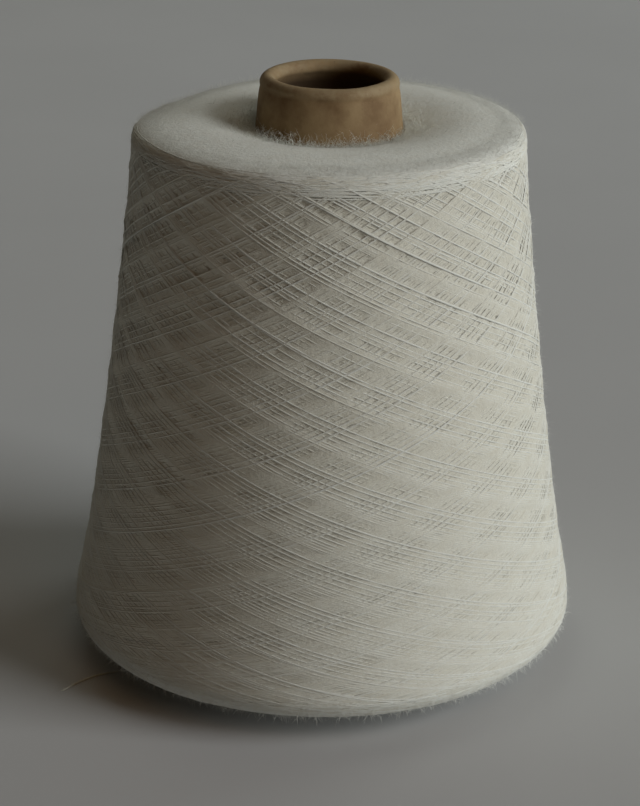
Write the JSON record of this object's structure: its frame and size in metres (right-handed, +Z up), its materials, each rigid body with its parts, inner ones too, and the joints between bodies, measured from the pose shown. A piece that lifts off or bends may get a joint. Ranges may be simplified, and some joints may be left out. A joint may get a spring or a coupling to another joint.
{
  "type": "cone of yarn",
  "caption": "Cone of fine off-white yarn, cross-wound on a hollow tapered paper cone whose rolled nose stands out at the top, with a short loose end at the foot.",
  "frame": {"origin": "centre of the paper cone's base, on the surface it stands on", "axes": "+Z up along the axis of the winding, towards the nose; -Y towards the front, where the picture was taken from"},
  "size_m": [0.1461, 0.1454, 0.17],
  "materials": {
    "paper": "matt kraft board, slightly mottled",
    "yarn": "fine wound yarn, matt and slightly fuzzy",
    "loose_yarn": "single fine yarn, matt and hairy"
  },
  "bodies": {
    "root": {"paper_cone": "paper", "yarn_package": "yarn", "loose_end": "loose_yarn"}
  },
  "joints": []
}
